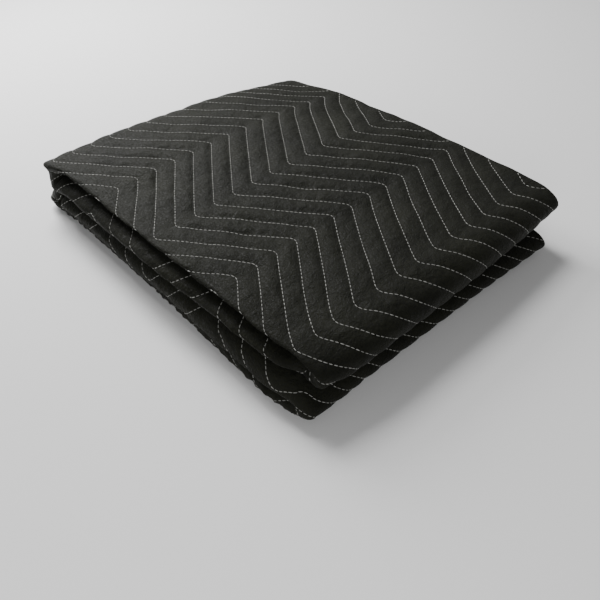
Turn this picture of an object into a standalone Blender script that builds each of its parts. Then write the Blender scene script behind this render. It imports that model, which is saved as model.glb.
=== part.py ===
"""A quilted moving blanket folded into a flat stack, as one closed sheet.

The blanket is doubled twice across its width into a strip of four plies, and the
strip is then folded like a book: both ends are brought to the middle and the two
halves are closed on each other.  The spine of that book lies at -X, the two round
fold noses lie at +X, the long folds of the strip lie at -Y and its open edges at +Y.

Metres, +Z up, origin on the floor under the centre of the stack.
"""
import math
from dataclasses import dataclass
from typing import NamedTuple

import bmesh
import bpy
import numpy as np

# ---------------------------------------------------------------- the folded cloth
PLY = 0.0045              # one quilted thickness, pressed in the stack
PLY_GAP = 0.0005          # air left between two plies of the strip
STRIP_WIDTH = 0.395       # folded width of the strip, along Y
STACK_HEIGHT = 0.080      # height of the stack before it settles
LEVELS = 4                # times the strip lies over itself
SPINE_X = 0.0             # where the top run starts to turn down; X runs from here
NOSE_X = 0.4459           # where the top run starts to turn over the upper nose
END_BACK = 0.016          # how far the hidden ends stop short of the spine

# ---------------------------------------------------------------- its quilting
LINE_SPACING = 0.0275     # between two chevron stitch lines, along Y
ZIG_RUN = 0.1096          # from one apex of a stitch line to the next, along X
ZIG_HALF_HEIGHT = 0.0397  # half the height of a stitch line's zigzag, along Y
GROOVE_DEPTH = 0.0013     # how far a stitch line draws the face in

# ---------------------------------------------------------------- the spine
SPINE_LOBE_UPPER = 0.0132      # radius of the strip's middle in the upper lobe
SPINE_DENT = 0.0130            # the same in the dent between the lobes
SPINE_LEAN = math.radians(45)  # how far the lobes turn past the upright

# ---------------------------------------------------------------- how it settles
PRESSED = 0.84            # thickness left in the lowest ply; the highest keeps it all
NOSE_STRETCH = 1.30       # how much slacker than a round turn the fold noses lie
SPINE_STRETCH = 1.40      # the same at the spine
CROWN_X = 0.2517          # X of the highest place of the top
CROWN_SHARE = 0.56        # its place across the strip, as a share of the width
CROWN_HALF = 0.079        # distance across the strip that the next value is for
DROP_ACROSS = 0.00062     # how far the top drops over that distance
DROP_ALONG = 0.00090      # how far it drops over one zigzag run, along X
DROP_SPINE = 0.00006      # further drop toward the spine, with the fourth power
DROP_NOSE = 0.00019       # the same toward the noses
RIM_DROP = 0.003          # drop of the open edges
RIM_START = 0.25          # Y where that drop starts
FRONT_DROP = 0.005        # drop of the corner between the long folds and the noses
FRONT_START_X = 0.33      # X where that drop starts
FRONT_END_X = 0.47        # X where it is full
FRONT_WIDTH = 0.13        # Y it reaches to
SLANT = 0.038             # how far the spine runs in toward +X at the open edges
SLANT_START = 0.10        # share of the width where it starts to run in
SLANT_FULL = 0.75         # share of the width over which it does
SLANT_REACH = 0.36        # X up to which the cloth follows it
CORNER_PULL = 0.024       # how far the corner at the spine's open end is drawn in
CORNER_REACH = 0.12       # X up to which it is
FRONT_PULL_X = 0.005      # how far the front corner is drawn in along X
FRONT_PULL_Y = 0.006      # the same along Y
FRONT_PULL_START = 0.40   # X from which it is
FRONT_PULL_WIDTH = 0.10   # Y up to which it is
FOLD_SLIDE_WIDTH = 0.16   # Y up to which a level's slide at its long fold is felt
EDGE_SLIDE_START = 0.20   # Y from which a level's slide at its open edges is felt
REACH_START = 0.30        # X from which a nose's further reach is felt

# ---------------------------------------------------------------- sampling
HALF_RUNS = 8             # stations on a straight run, two to each zigzag run
TURN_STEPS = 6            # facets round a fold nose
LOBE_STEPS = 4            # facets round a lobe of the spine
DENT_STEPS = 3            # facets in the dent of the spine
RUN_SHARES = (0.14, 0.37, 0.60, 0.76, 0.88)  # where plain faces have rows of points
OUTER_ARC_STEPS = 6       # facets round the section's outer fold
INNER_ARC_STEPS = 4       # facets round its inner folds
PILE_STEP = 0.0004        # least distance between rows of points at an edge

STRIP_HALF = (4 * PLY + 3 * PLY_GAP) / 2
LEVEL_PITCH = STACK_HEIGHT / LEVELS
PLIES_PITCH = PLY + PLY_GAP
FLOOR_GAP = LEVEL_PITCH / 2 - STRIP_HALF


@dataclass(frozen=True)
class Level:
    """How one level of the stack slides, in metres."""

    spine: float          # outset of its long fold, toward -Y, at the spine
    middle: float         # the same half way
    nose: float           # the same at the nose
    edge_in: float        # how far its open edges sit in from +Y
    reach: float          # how far its nose reaches past the round turn, toward +X


#                     spine    middle   nose     edge_in  reach
TOP = Level(0.0000, -0.0020, -0.0040, 0.0000, 0.0000)
SECOND = Level(0.0020, 0.0045, 0.0020, 0.0040, 0.0000)
THIRD = Level(-0.0040, -0.0010, 0.0020, 0.0200, 0.0050)
BOTTOM = Level(-0.0100, -0.0090, 0.0000, 0.0240, 0.0050)


class Mark(NamedTuple):
    """A place where the pen stopped on the strip's middle line."""

    x: float
    z: float
    heading: float        # radians, 0 along +X
    outer: float          # length of the outer face up to here
    stretch: str          # the stretch of the path that it belongs to
    share: float          # how much of that stretch lies behind it


@dataclass(frozen=True)
class Station:
    """One place along the strip's middle, in the plane of the book fold."""

    x: float
    z: float
    heading: float
    cloth: float          # length along the outer face, 0 at the spine's top
    slide: np.ndarray     # long fold's outset, open edge's inset, nose's reach
    quilted: float        # 1 where the quilting shows, 0 where it is hidden


class Point(NamedTuple):
    """A point of the section: across the strip, outward, and along the folded cloth."""

    y: float
    n: float
    along: float


class Pen:
    """Draws the strip's middle line and measures its outer face."""

    def __init__(self, x: float, z: float):
        self.x = x
        self.z = z
        self.heading = 0.0
        self.outer = 0.0
        self.marks = []

    def mark(self, stretch: str, share: float) -> None:
        """Keep the present place."""
        self.marks.append(Mark(self.x, self.z, self.heading, self.outer, stretch, share))

    def straight(self, targets: list, stretch: str) -> None:
        """Go straight to each X in turn."""
        for count, target in enumerate(targets, start=1):
            self.outer += abs(target - self.x)
            self.x = target
            self.mark(stretch, count / len(targets))

    def turn(self, radius: float, angle: float, steps: int, stretch: str) -> None:
        """Turn left by a positive angle and right by a negative one."""
        side = math.copysign(1.0, angle)
        centre_x = self.x - side * radius * math.sin(self.heading)
        centre_z = self.z + side * radius * math.cos(self.heading)
        start = self.heading
        for count in range(1, steps + 1):
            self.heading = start + angle * count / steps
            self.x = centre_x + side * radius * math.sin(self.heading)
            self.z = centre_z - side * radius * math.cos(self.heading)
            self.outer += abs(angle) / steps * (radius + side * STRIP_HALF)
            self.mark(stretch, count / steps)


class Side:
    """Collects one side of the section in runs and folds, measuring along the cloth."""

    def __init__(self, along: float):
        self.along = along
        self.points = []

    def run(self, start_y: float, stop_y: float, n: float) -> None:
        """A plain run with both its ends, on rows that all runs share."""
        rows = [share * STRIP_WIDTH for share in RUN_SHARES]
        if stop_y < start_y:
            rows.reverse()
        for y in [start_y] + rows + [stop_y]:
            self.points.append(Point(y, n, self.along + abs(y - start_y)))
        self.along += abs(stop_y - start_y)

    def fold(
        self, centre: tuple, radius: float, start: float, turn: float, steps: int, length: float
    ) -> None:
        """The points between the two ends of a fold; length is the mid-cloth's round it."""
        for count in range(1, steps):
            angle = start + turn * count / steps
            y = centre[0] + radius * math.cos(angle)
            n = centre[1] + radius * math.sin(angle)
            self.points.append(Point(y, n, self.along + length * count / steps))
        self.along += length


def ease(value: float, start: float, stop: float) -> float:
    """0 before start, 1 after stop, smooth between."""
    share = min(max((value - start) / (stop - start), 0.0), 1.0)
    return share * share * (3 - 2 * share)


def level_height(level: int) -> float:
    """Height of the strip's middle in a level, counted from the floor."""
    return (level + 0.5) * LEVEL_PITCH


def level_slide(level: Level, x: float) -> np.ndarray:
    """A level's slide at an X of its straight run."""
    share = (x - SPINE_X) / (NOSE_X - SPINE_X)
    outset = np.interp(share, (0.0, 0.5, 1.0), (level.spine, level.middle, level.nose))
    return np.array((outset, level.edge_in, level.reach))


def turn_slide(before: Level, after: Level, x: float, share: float) -> np.ndarray:
    """The slide in a turn between two levels."""
    eased = ease(share, 0.0, 1.0)
    return level_slide(before, x) * (1 - eased) + level_slide(after, x) * eased


def station_from(mark: Mark, top_end: float) -> Station:
    """Turn one of the pen's marks into a station with its slide and quilting."""
    levels = {"second": SECOND, "top": TOP, "bottom": BOTTOM, "third": THIRD}
    spine_parts = {"upper_lobe": 0, "dent": 1, "lower_lobe": 2}
    quilted = 0.0
    if mark.stretch in levels:
        slide = level_slide(levels[mark.stretch], mark.x)
        if mark.stretch == "top" or (mark.stretch == "second" and mark.share == 1):
            quilted = 1.0
    elif mark.stretch == "upper_nose":
        slide = turn_slide(SECOND, TOP, NOSE_X, mark.share)
        quilted = 1.0
    elif mark.stretch == "lower_nose":
        slide = turn_slide(BOTTOM, THIRD, NOSE_X, mark.share)
        quilted = math.sin(math.pi * mark.share) ** 0.5 if mark.share < 1 else 0.0
    else:
        part = spine_parts[mark.stretch]
        slide = turn_slide(TOP, BOTTOM, SPINE_X, (part + mark.share) / len(spine_parts))
        quilted = 1.0 if part < 2 else 1.0 - mark.share
    return Station(mark.x, mark.z, mark.heading, top_end - mark.outer, slide, quilted)


def book_path() -> list:
    """The strip's stations from its upper hidden end to its lower hidden end."""
    xs = [SPINE_X + ZIG_RUN / 2 * count for count in range(HALF_RUNS)] + [NOSE_X]
    hidden = [SPINE_X + END_BACK] + xs[1:]
    sine = math.sin(SPINE_LEAN)
    drop = level_height(3) - level_height(0)
    lobe_lower = (drop - 2 * SPINE_DENT * sine) / (1 + sine) - SPINE_LOBE_UPPER
    lobe_turn = math.pi / 2 + SPINE_LEAN

    pen = Pen(hidden[0], level_height(2))
    pen.mark("second", 0.0)
    pen.straight(hidden[1:], "second")
    pen.turn(LEVEL_PITCH / 2, math.pi, TURN_STEPS, "upper_nose")
    pen.straight(xs[-2::-1], "top")
    top_end = pen.outer
    pen.turn(SPINE_LOBE_UPPER, lobe_turn, LOBE_STEPS, "upper_lobe")
    pen.turn(SPINE_DENT, -2 * SPINE_LEAN, DENT_STEPS, "dent")
    pen.turn(lobe_lower, lobe_turn, LOBE_STEPS, "lower_lobe")
    pen.straight([x for x in xs if x > pen.x + ZIG_RUN / 4], "bottom")
    pen.turn(LEVEL_PITCH / 2, math.pi, TURN_STEPS, "lower_nose")
    pen.straight(hidden[-2::-1], "third")
    return [station_from(mark, top_end) for mark in pen.marks]


def zigzag(cloth: float) -> float:
    """Height of the stitch lines' zigzag at a length along the cloth."""
    phase = (cloth / ZIG_RUN) % 2.0
    return ZIG_HALF_HEIGHT * (2 * phase - 1 if phase < 1 else 3 - 2 * phase)


def quilted_rows(station: Station) -> list:
    """The outer face's points at a station, from the open edge to the long fold."""
    shift = zigzag(station.cloth) * station.quilted
    low = STRIP_HALF
    high = STRIP_WIDTH
    first = math.ceil((high + ZIG_HALF_HEIGHT) / LINE_SPACING)
    last = math.floor((low - ZIG_HALF_HEIGHT) / LINE_SPACING)
    count = 2 * (first - last) + 1
    rows = []
    for index in range(count):
        wanted = LINE_SPACING * (first - index / 2) + shift
        ceiling = high - index * PILE_STEP
        bottom = low + (count - 1 - index) * PILE_STEP
        y = min(max(wanted, bottom), ceiling)
        phase = (y - shift) / LINE_SPACING % 1.0
        groove = (2 * phase - 1) ** 2
        near_end = min((y - low) / LINE_SPACING, (high - y) / PLY, 1.0)
        depth = GROOVE_DEPTH * groove * station.quilted * max(near_end, 0.0)
        rows.append(Point(y, STRIP_HALF - depth, high - y))
    return rows


def plain_sides() -> tuple:
    """The cloth's outer side after the quilted face, and its whole inner side.

    Both start at the open edge of the outermost ply.  y is 0 at the long folds and
    STRIP_WIDTH at the open edges, and n is 0 in the middle of the strip.
    """
    fold_y = STRIP_HALF                              # centre of the nested long folds
    small = PLY + PLY_GAP / 2                        # outside radius of the inner folds
    tight = PLY_GAP / 2                              # their inside radius
    wide = PLY + 1.5 * PLY_GAP                       # inside radius of the outer fold
    hem_y = STRIP_WIDTH - small - PLY_GAP            # centre of the fold at the open side
    second_edge = STRIP_WIDTH - PLY
    top = math.pi / 2
    half_turn = math.pi
    long_fold = (fold_y, 0.0)
    hem_fold = (hem_y, -PLIES_PITCH)
    round_wide = half_turn * (STRIP_HALF + wide) / 2
    round_small = half_turn * (small + tight) / 2

    outer = Side(STRIP_WIDTH - fold_y)
    outer.fold(long_fold, STRIP_HALF, top, half_turn, OUTER_ARC_STEPS, round_wide)
    outer.run(fold_y, hem_y, -STRIP_HALF)
    outer.fold(hem_fold, small, -top, half_turn, INNER_ARC_STEPS, round_small)
    outer.run(hem_y, fold_y, -tight)
    outer.fold(long_fold, tight, -top, -half_turn, 2, round_small)
    outer.run(fold_y, second_edge, tight)

    inner = Side(0.0)
    inner.run(STRIP_WIDTH, fold_y, wide)
    inner.fold(long_fold, wide, top, half_turn, INNER_ARC_STEPS, round_wide)
    inner.run(fold_y, hem_y, -wide)
    inner.fold(hem_fold, tight, -top, half_turn, 2, round_small)
    inner.run(hem_y, fold_y, -small)
    inner.fold(long_fold, small, -top, -half_turn, INNER_ARC_STEPS, round_small)
    inner.run(fold_y, second_edge, small)
    return outer.points, inner.points


def top_drop(x: float, y: float) -> float:
    """How far the settled top lies below its highest place."""
    along = (x - CROWN_X) / ZIG_RUN
    across = (y - CROWN_SHARE * STRIP_WIDTH) / CROWN_HALF
    further = DROP_SPINE if along < 0 else DROP_NOSE
    drop = DROP_ALONG * along ** 2 + further * along ** 4 + DROP_ACROSS * across ** 2
    drop += RIM_DROP * ease(y, RIM_START, STRIP_WIDTH)
    near_front = ease(x, FRONT_START_X, FRONT_END_X) * (1 - ease(y, 0.0, FRONT_WIDTH))
    return drop + FRONT_DROP * near_front


def lie(x: float, y: float, z: float) -> tuple:
    """Let the evenly folded stack settle, crown and round its corners."""
    if x < SPINE_X:
        x = SPINE_X + (x - SPINE_X) * SPINE_STRETCH
    if x > NOSE_X:
        x = NOSE_X + (x - NOSE_X) * NOSE_STRETCH

    settled = (z - FLOOR_GAP) * (PRESSED + (1 - PRESSED) * z / STACK_HEIGHT)
    settled *= 1 - top_drop(x, y) / STACK_HEIGHT

    run_in = max(y / STRIP_WIDTH - SLANT_START, 0.0) / SLANT_FULL
    moved_x = x + SLANT * run_in ** 2 * (1 - ease(x, -END_BACK, SLANT_REACH))
    corner = (1 - ease(x, -2 * END_BACK, CORNER_REACH)) * ease(y, RIM_START, STRIP_WIDTH)
    front = ease(x, FRONT_PULL_START, FRONT_END_X) * (1 - ease(y, 0.0, FRONT_PULL_WIDTH))
    moved_x -= FRONT_PULL_X * front
    moved_y = y - CORNER_PULL * corner + FRONT_PULL_Y * front
    return moved_x, moved_y, settled


def place(station: Station, point: Point) -> tuple:
    """Where a point of the section lies at a station, X from SPINE_X and Y from the folds."""
    outset, edge_in, reach = station.slide
    x = station.x + point.n * math.sin(station.heading)
    z = station.z - point.n * math.cos(station.heading)
    toward_fold = 1 - ease(point.y, 0.0, FOLD_SLIDE_WIDTH)
    toward_edge = ease(point.y, EDGE_SLIDE_START, STRIP_WIDTH)
    y = point.y - outset * toward_fold - edge_in * toward_edge
    return lie(x + reach * ease(x, REACH_START, NOSE_X), y, z)


def join_rings(shape: bmesh.types.BMesh, near: list, far: list, falling: list) -> None:
    """Face the cloth between two stations, every ply split along the same diagonal."""
    size = len(near)
    for index in range(size):
        after = (index + 1) % size
        if falling[index]:
            shape.faces.new((near[index], near[after], far[after]))
            shape.faces.new((near[index], far[after], far[index]))
        else:
            shape.faces.new((near[index], near[after], far[index]))
            shape.faces.new((near[after], far[after], far[index]))


def close_end(shape: bmesh.types.BMesh, outer: list, inner: list) -> None:
    """Close an end of the sheet, joining its two sides in step along the cloth.

    Both sides are lists of (vertex, length along the cloth).
    """
    near = 0
    far = 0
    while near < len(outer) - 1 or far < len(inner) - 1:
        near_next = outer[near + 1][1] if near < len(outer) - 1 else math.inf
        far_next = inner[far + 1][1] if far < len(inner) - 1 else math.inf
        if near_next <= far_next:
            shape.faces.new((outer[near][0], outer[near + 1][0], inner[far][0]))
            near += 1
        else:
            shape.faces.new((outer[near][0], inner[far + 1][0], inner[far][0]))
            far += 1


def centre_on_floor(shape: bmesh.types.BMesh) -> None:
    """Move the shape so that its box stands centred on the origin."""
    corners = np.array([vertex.co for vertex in shape.verts])
    low = corners.min(axis=0)
    high = corners.max(axis=0)
    shift = ((low[0] + high[0]) / 2, (low[1] + high[1]) / 2, low[2])
    bmesh.ops.translate(shape, verts=shape.verts[:], vec=[-value for value in shift])


def build_quilt() -> bpy.types.Object:
    """Loft the section along the book path and close both ends."""
    outer, inner = plain_sides()
    stations = book_path()
    outlines = [quilted_rows(station) + outer + inner[::-1] for station in stations]
    shape = bmesh.new()
    rings = [
        [shape.verts.new(place(station, point)) for point in outline]
        for station, outline in zip(stations, outlines)
    ]
    size = len(outlines[0])
    for count in range(len(stations) - 1):
        outline = outlines[count]
        rightward = stations[count + 1].x > stations[count].x
        falls = [outline[(index + 1) % size].y < outline[index].y for index in range(size)]
        join_rings(shape, rings[count], rings[count + 1], [fall != rightward for fall in falls])
    split = size - len(inner)
    for ring, outline in ((rings[0], outlines[0]), (rings[-1], outlines[-1])):
        marked = [(vertex, point.along) for vertex, point in zip(ring, outline)]
        close_end(shape, marked[:split], marked[:split - 1:-1])
    bmesh.ops.recalc_face_normals(shape, faces=shape.faces[:])
    centre_on_floor(shape)
    mesh = bpy.data.meshes.new("quilt")
    shape.to_mesh(mesh)
    shape.free()
    mesh.shade_smooth()
    return bpy.data.objects.new("quilt", mesh)


def cloth_material() -> bpy.types.Material:
    """Near-black matte woven cloth."""
    material = bpy.data.materials.new("quilt_cloth")
    material.use_nodes = True
    surface = material.node_tree.nodes["Principled BSDF"]
    surface.inputs["Base Color"].default_value = (0.018, 0.018, 0.016, 1.0)
    surface.inputs["Roughness"].default_value = 0.92
    surface.inputs["Metallic"].default_value = 0.0
    return material


def main() -> None:
    """Clear the scene and build the blanket in its own collection."""
    for old in list(bpy.data.objects):
        bpy.data.objects.remove(old, do_unlink=True)
    collection = bpy.data.collections.new("moving_blanket")
    bpy.context.scene.collection.children.link(collection)
    quilt = build_quilt()
    quilt.data.materials.append(cloth_material())
    collection.objects.link(quilt)


main()
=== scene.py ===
"""A quilted moving blanket folded into a flat stack: its cloth, stitching and studio.

The blanket is doubled twice across its width into a strip of four plies, and the
strip is folded like a book, with both its ends in the middle.  The spine lies at -X,
the two round fold noses at +X, the strip's long folds at -Y and its open edges at +Y.
Metres, +Z up.  The strip is laid out in a frame of its own, X from the spine and Y
from the long folds, and moved onto the CAD part's frame at the end.
"""
import logging
import math
from dataclasses import dataclass, field
from enum import Enum
from functools import cache
from typing import NamedTuple

import bmesh
import bpy
import numpy as np
from mathutils import Matrix, Vector


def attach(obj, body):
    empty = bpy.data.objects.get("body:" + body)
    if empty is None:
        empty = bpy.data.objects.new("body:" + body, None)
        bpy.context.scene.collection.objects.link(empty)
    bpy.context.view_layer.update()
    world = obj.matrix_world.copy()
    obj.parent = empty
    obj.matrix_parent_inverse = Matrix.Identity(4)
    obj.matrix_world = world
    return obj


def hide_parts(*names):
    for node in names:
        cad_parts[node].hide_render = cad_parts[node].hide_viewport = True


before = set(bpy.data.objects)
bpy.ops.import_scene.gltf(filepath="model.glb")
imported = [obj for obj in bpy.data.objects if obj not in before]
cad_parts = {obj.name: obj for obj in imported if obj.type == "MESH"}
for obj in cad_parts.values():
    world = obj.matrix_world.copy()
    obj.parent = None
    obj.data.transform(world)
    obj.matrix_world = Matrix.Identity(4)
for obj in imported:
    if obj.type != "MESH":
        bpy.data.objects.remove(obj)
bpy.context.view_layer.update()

LOG = logging.getLogger("moving_blanket")
BODY = "root"
NODE = "quilt"


# ------------------------------------------------------------------- small helpers
def ease(value: np.ndarray, start: float, stop: float) -> np.ndarray:
    """0 before start, 1 after stop, smooth between.

    Args:
        value: the numbers to ease.
        start: where the rise begins.
        stop: where it is full.

    Returns:
        The eased share of each number.
    """
    share = np.clip((value - start) / (stop - start), 0.0, 1.0)
    return share * share * (3 - 2 * share)


def soft_line(value: np.ndarray, knots: tuple, heights: tuple, soft: float) -> np.ndarray:
    """A broken line through the knots, with its corners softened.

    Args:
        value: where to read the line.
        knots: rising positions of its corners.
        heights: its height at each corner.
        soft: half the width that a corner is softened over.

    Returns:
        The line's height at each value.
    """
    steps = np.linspace(-soft, soft, 5)
    return sum(np.interp(value + step, knots, heights) for step in steps) / len(steps)


def plain_object(name: str, mesh: bpy.types.Mesh) -> bpy.types.Object:
    """Link a mesh into the scene as a new object.

    Args:
        name: the object's name.
        mesh: its mesh.

    Returns:
        The linked object.
    """
    made = bpy.data.objects.new(name, mesh)
    bpy.context.scene.collection.objects.link(made)
    return made


# ------------------------------------------------------------------- the folded strip
@dataclass(frozen=True)
class Strip:
    """The blanket doubled twice: four plies nested in each other."""

    ply: float = 0.0045          # one quilted thickness
    gap: float = 0.0005          # air between two plies
    width: float = 0.395         # folded width, along Y
    level_pitch: float = 0.020   # height of one level of the stack
    edge_round: float = 0.0012   # how far a cut edge is rounded

    @property
    def half(self) -> float:
        """Half the strip's thickness, which is the outer radius of its long fold."""
        return (4 * self.ply + 3 * self.gap) / 2

    @property
    def fold_length(self) -> float:
        """Length of the outer face round the long fold."""
        return math.pi * self.half


@dataclass(frozen=True)
class SmoothTable:
    """Whole millimetres over two directions, read in metres."""

    along: tuple          # knots of the first direction
    across: tuple         # knots of the second
    rows: tuple           # one row of values for each knot of the first
    soft: float           # half the width that corners of the second are softened over
    along_soft: float = 0.0   # the same for the first

    def at(self, along: np.ndarray, across: np.ndarray) -> np.ndarray:
        """The value at each place, in metres.

        Args:
            along: places in the first direction.
            across: places in the second, in the unit of its knots.

        Returns:
            The values, zero or the end value beyond the knots.
        """
        total = np.zeros(np.broadcast(along, across).shape)
        for index, row in enumerate(self.rows):
            weights = [float(other == index) for other in range(len(self.along))]
            share = soft_line(along, self.along, weights, self.along_soft)
            total += share * soft_line(across, self.across, row, self.soft)
        return total / 1000


class Drift(NamedTuple):
    """A stretch where the cloth lies off its even lines, softly, in metres."""

    cloth: tuple          # lengths along between which it grows, and then fades
    across: tuple         # lengths across between which it fades, or grows if turned round
    along: float = 0.0    # how far the lines move along the cloth
    over: float = 0.0     # how far they move from the long fold toward the open edge

    def share(self, cloth: np.ndarray, across: np.ndarray) -> np.ndarray:
        """How much of the drift a place has, from none to all.

        Args:
            cloth: lengths along the cloth.
            across: lengths across it from the long fold.

        Returns:
            The share at each place.
        """
        start, full, hold, end = self.cloth
        lengthwise = ease(cloth, start, full) * (1 - ease(cloth, hold, end))
        near, far = self.across
        sideways = ease(across, far, near) if near > far else 1 - ease(across, near, far)
        return lengthwise * sideways


DRIFTS = (
    # Top, beside the long folds.
    Drift((-0.02, 0.10, 0.42, 0.46), (0.005, 0.075), over=-0.006),
    # Top, by the front corner.
    Drift((0.32, 0.43, 0.45, 0.49), (0.07, 0.15), over=-0.005),
    # Rim over the spine, by the long folds.
    Drift((-0.12, -0.03, 0.03, 0.10), (0.10, 0.25), over=-0.003),
    # Top, growing toward the open edge.
    Drift((0.02, 0.12, 0.30, 0.42), (0.32, 0.12), over=0.0025),
    # Upper nose, front corner.
    Drift((0.43, 0.48, 0.51, 0.535), (0.005, 0.065), over=-0.022),
    # Upper nose and second level, the rest.
    Drift((0.36, 0.48, 1.0, 1.1), (0.22, 0.06), over=0.007),
    # Second level's long fold, by the nose.
    Drift((0.51, 0.555, 0.61, 0.67), (0.02, 0.08), along=0.011),
    # Second level's long fold, half way.
    Drift((0.64, 0.70, 0.76, 0.84), (0.02, 0.08), along=-0.006),
    # Second level's long fold, to half way.
    Drift((0.53, 0.60, 0.66, 0.82), (0.01, 0.07), over=-0.013),
    # Bottom level, beside its long fold.
    Drift((-0.67, -0.59, -0.12, -0.04), (0.02, 0.11), over=0.021),
    # Lower nose, front corner.
    Drift((-0.64, -0.58, -0.54, -0.50), (0.03, 0.20), along=0.012),
    # Third level, most of its width.
    Drift((-1.10, -0.76, -0.72, -0.60), (0.10, 0.45), along=-0.018),
    # Third level's long fold, by the nose.
    Drift((-0.75, -0.71, -0.68, -0.62), (0.02, 0.08), along=-0.010),
)


@dataclass(frozen=True)
class Quilting:
    """Chevron stitch lines: parallel zigzags that run the length of the strip."""

    spacing: float = 0.0275      # between two lines, along Y
    offset: float = 0.0008       # of the first line from the long fold
    run: float = 0.1096          # from one apex to the next
    rise: float = 0.0397         # half the height of the zigzag
    apex: float = 0.0050         # half the length over which an apex is rounded
    groove: float = 0.0020       # how far a line draws the face in
    crease: float = 0.20         # share of the groove that is a sharp crease
    drawn: float = 0.55          # share of the groove that is left where the cloth is bent
    top_reach: tuple = (0.0, 0.05, 0.37, 0.44)   # lengths between which the top is flat
    lip_reach: tuple = (0.31, 0.375)   # length across where the top starts to bend down
    skew: float = 0.0270         # how far the lines run on past the slanting spine
    skew_start: float = 0.10     # where that begins across the strip, as a share of its width
    skew_full: float = 0.75      # over which share of the width it grows
    skew_along: tuple = (-0.25, -0.08, 0.09, 0.28)   # where it grows and where it fades
    width: float = Strip.width

    def zigzag(self, cloth: np.ndarray) -> np.ndarray:
        """Height of the zigzag, with its apexes rounded.

        Args:
            cloth: lengths along the cloth.

        Returns:
            The height at each length.
        """
        phase = (cloth / self.run) % 2.0
        sharp = self.rise * np.where(phase < 1, 2 * phase - 1, 3 - 2 * phase)
        near = np.minimum(np.abs(phase - np.round(phase)) * self.run, self.apex)
        slope = 2 * self.rise / self.run
        rounding = slope * (self.apex - near) ** 2 / (2 * self.apex)
        upper = np.abs(phase - 1) < 0.5
        return sharp + np.where(upper, -rounding, rounding)

    def line_height(self, cloth: np.ndarray, base: np.ndarray) -> np.ndarray:
        """Height of the zigzag where the line from a base length comes to lie.

        Args:
            cloth: lengths along the cloth.
            base: lengths across it, before the zigzag shifts them.

        Returns:
            The heights, with the cloth's slips along and across its lines.
        """
        y = self.width - base + self.zigzag(cloth)
        start, full, hold, end = self.skew_along
        run_in = np.maximum(y / self.width - self.skew_start, 0.0) / self.skew_full
        along = -self.skew * run_in ** 2 * ease(cloth, start, full) * (1 - ease(cloth, hold, end))
        over = 0.0
        for drift in DRIFTS:
            share = drift.share(cloth, y)
            along = along + drift.along * share
            over = over + drift.over * share
        return self.zigzag(cloth - along) + over

    def depth(self, across: np.ndarray) -> np.ndarray:
        """How far the face lies below the channels' tops, across in line spacings."""
        off = np.abs(2 * (across % 1.0) - 1)
        return self.groove * ((1 - self.crease) * off ** 2 + self.crease * off ** 6)

    def fullness(self, cloth: np.ndarray, across: np.ndarray) -> np.ndarray:
        """Share of the groove's depth at a place: all of it on the flat of the top.

        Args:
            cloth: lengths along the cloth.
            across: lengths across it from the open edge.

        Returns:
            The share at each place.
        """
        spine, full, bend, nose = self.top_reach
        flat = ease(cloth, spine, full) * (1 - ease(cloth, bend, nose))
        flat = flat * (1 - ease(across, *self.lip_reach))
        return self.drawn + (1 - self.drawn) * flat


class Run(Enum):
    """The stretches of the strip's way through the stack."""

    SECOND = "second level"
    UPPER_NOSE = "upper nose"
    TOP = "top level"
    UPPER_LOBE = "spine, upper lobe"
    DENT = "spine, dent"
    LOWER_LOBE = "spine, lower lobe"
    BOTTOM = "bottom level"
    LOWER_NOSE = "lower nose"
    THIRD = "third level"


class Level(NamedTuple):
    """How one level of the stack slides, in metres."""

    spine: float          # outset of its long fold, toward -Y, at the spine
    middle: float         # the same half way
    nose: float           # the same at the nose
    edge_in: float        # how far its open edges sit in from +Y
    reach: float          # how far its nose reaches past the round turn


LEVELS = {
    Run.TOP: Level(0.0000, -0.0020, -0.0040, 0.0000, 0.0000),
    Run.SECOND: Level(0.0020, 0.0045, 0.0020, 0.0040, 0.0000),
    Run.THIRD: Level(-0.0040, -0.0010, 0.0020, 0.0200, 0.0050),
    Run.BOTTOM: Level(-0.0100, -0.0090, 0.0000, 0.0240, 0.0050),
}


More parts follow.
